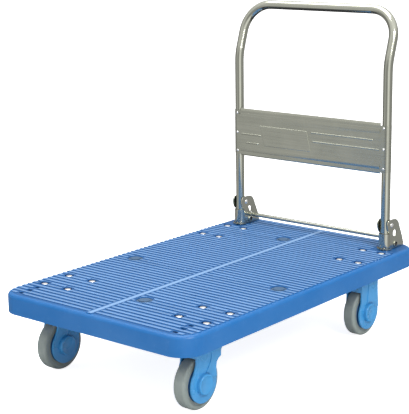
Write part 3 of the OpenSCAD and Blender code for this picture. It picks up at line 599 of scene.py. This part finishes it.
# studio: pale floor, soft light, and a sky that gives the metal something to mirror;
# sky is brightness by heading in degrees, high and low are where it turns to the top and the ground
studio = {
    "floorSize": 40.0, "floorColour": (0.92, 0.92, 0.92, 1), "floorGlow": 0.85, "skyTop": 0.95,
    "ground": (0.05, 0.05, 0.06, 1), "high": (0.16, 0.75), "low": (-0.45, -0.70),
    "sky": (
        (-180, 0.26), (-150, 0.26), (-125, 0.60), (-108, 0.42), (-85, 0.30), (-70, 0.40), (-55, 0.80),
        (-35, 1.05), (-22, 0.85), (-7, 0.52), (12, 0.34), (40, 0.34), (60, 0.40), (95, 0.20), (180, 0.30),
    ),
}

deselectAll()
bpy.ops.mesh.primitive_plane_add(size=studio["floorSize"], location=(0, 0, 0))
floor = bpy.context.object
floor.name = "paleFloor"
floorMat = bpy.data.materials.new("paleFloor")
floorMat.use_nodes = True
floorTree = floorMat.node_tree
floorShader = floorTree.nodes["Principled BSDF"]
floorShader.inputs["Base Color"].default_value = studio["floorColour"]
floorShader.inputs["Roughness"].default_value = 0.9
floorShader.inputs["Specular IOR Level"].default_value = 0.0
floorShader.inputs["Emission Color"].default_value = (1, 1, 1, 1)
rays = floorTree.nodes.new("ShaderNodeLightPath")
glow = mathNode(floorTree, "MULTIPLY", rays.outputs["Is Camera Ray"], studio["floorGlow"])
floorTree.links.new(glow, floorShader.inputs["Emission Strength"])
floor.data.materials.append(floorMat)
floor.visible_glossy = False  # metal mirrors the sky's lower half instead


def makeSky():
    world = bpy.data.worlds.new("studioSky")
    bpy.context.scene.world = world
    world.use_nodes = True
    tree = world.node_tree
    back = tree.nodes["Background"]
    direction = tree.nodes.new("ShaderNodeTexCoord").outputs["Generated"]
    split = tree.nodes.new("ShaderNodeSeparateXYZ")
    tree.links.new(direction, split.inputs["Vector"])
    heading = mathNode(tree, "ARCTAN2", split.outputs["Y"], split.outputs["X"])
    around = tree.nodes.new("ShaderNodeValToRGB")
    tree.links.new(rampNode(tree, heading, -math.pi, math.pi), around.inputs["Fac"])
    ramp = around.color_ramp
    while len(ramp.elements) < len(studio["sky"]):
        ramp.elements.new(0.5)
    for element, (degrees, shade) in zip(ramp.elements, studio["sky"]):
        element.position = (degrees + 180) / 360
        element.color = (shade, shade, shade, 1)
    high = rampNode(tree, split.outputs["Z"], *studio["high"])
    low = rampNode(tree, split.outputs["Z"], *studio["low"])
    top = studio["skyTop"]
    colour = mixColour(tree, high, around.outputs["Color"], (top, top, top, 1))
    colour = mixColour(tree, low, colour, studio["ground"])
    seen = tree.nodes.new("ShaderNodeLightPath").outputs["Is Camera Ray"]
    tree.links.new(mixColour(tree, seen, colour, (1, 1, 1, 1)), back.inputs["Color"])
    back.inputs["Strength"].default_value = 1.0


makeSky()


def areaLight(name, place, target, size, power, colour=(1, 1, 1)):
    data = bpy.data.lights.new(name, "AREA")
    data.shape = "RECTANGLE"
    data.size, data.size_y = size
    data.energy = power
    data.color = colour
    lamp = bpy.data.objects.new(name, data)
    bpy.context.scene.collection.objects.link(lamp)
    lamp.location = place
    lamp.rotation_euler = (Vector(target) - Vector(place)).to_track_quat("-Z", "Y").to_euler()
    return lamp


areaLight("keyLight", (2.9, -1.2, 2.7), (0, 0, 0.3), (1.0, 1.2), 60, (1.0, 0.99, 0.96))
areaLight("topLight", (-0.6, 0.2, 3.6), (0, 0, 0.2), (3.0, 3.0), 78)
fill = areaLight("frontFill", (-1.2, -3.4, 1.8), (0, 0, 0.3), (2.2, 1.6), 9, (0.95, 0.98, 1.0))
fill.visible_glossy = False
areaLight("glintRight", (2.3, -0.6, 2.6), (0, 0, 0.1), (0.30, 0.30), 8)
areaLight("glintTop", (0.5, -0.9, 3.4), (0.2, -0.4, 0.2), (0.30, 0.30), 5)

# camera: three-quarter view from the front right, a little above the deck
view = {"place": (2.0198, -2.5151, 1.1316), "yaw": 39.443, "pitch": 13.108, "roll": -0.79,
        "lens": 110.88, "sensor": 36}
cameraData = bpy.data.cameras.new("productCamera")
cameraData.sensor_width = view["sensor"]
cameraData.sensor_fit = "AUTO"
cameraData.lens = view["lens"]
camera = bpy.data.objects.new("productCamera", cameraData)
bpy.context.scene.collection.objects.link(camera)
turn = Euler((math.radians(90 - view["pitch"]), 0, math.radians(view["yaw"])), "XYZ").to_matrix()
turn = turn @ Matrix.Rotation(math.radians(view["roll"]), 3, "Z")
camera.rotation_euler = turn.to_euler()
camera.location = view["place"]
bpy.context.scene.camera = camera
bpy.context.scene.view_settings.view_transform = "Standard"
print("studio ready")
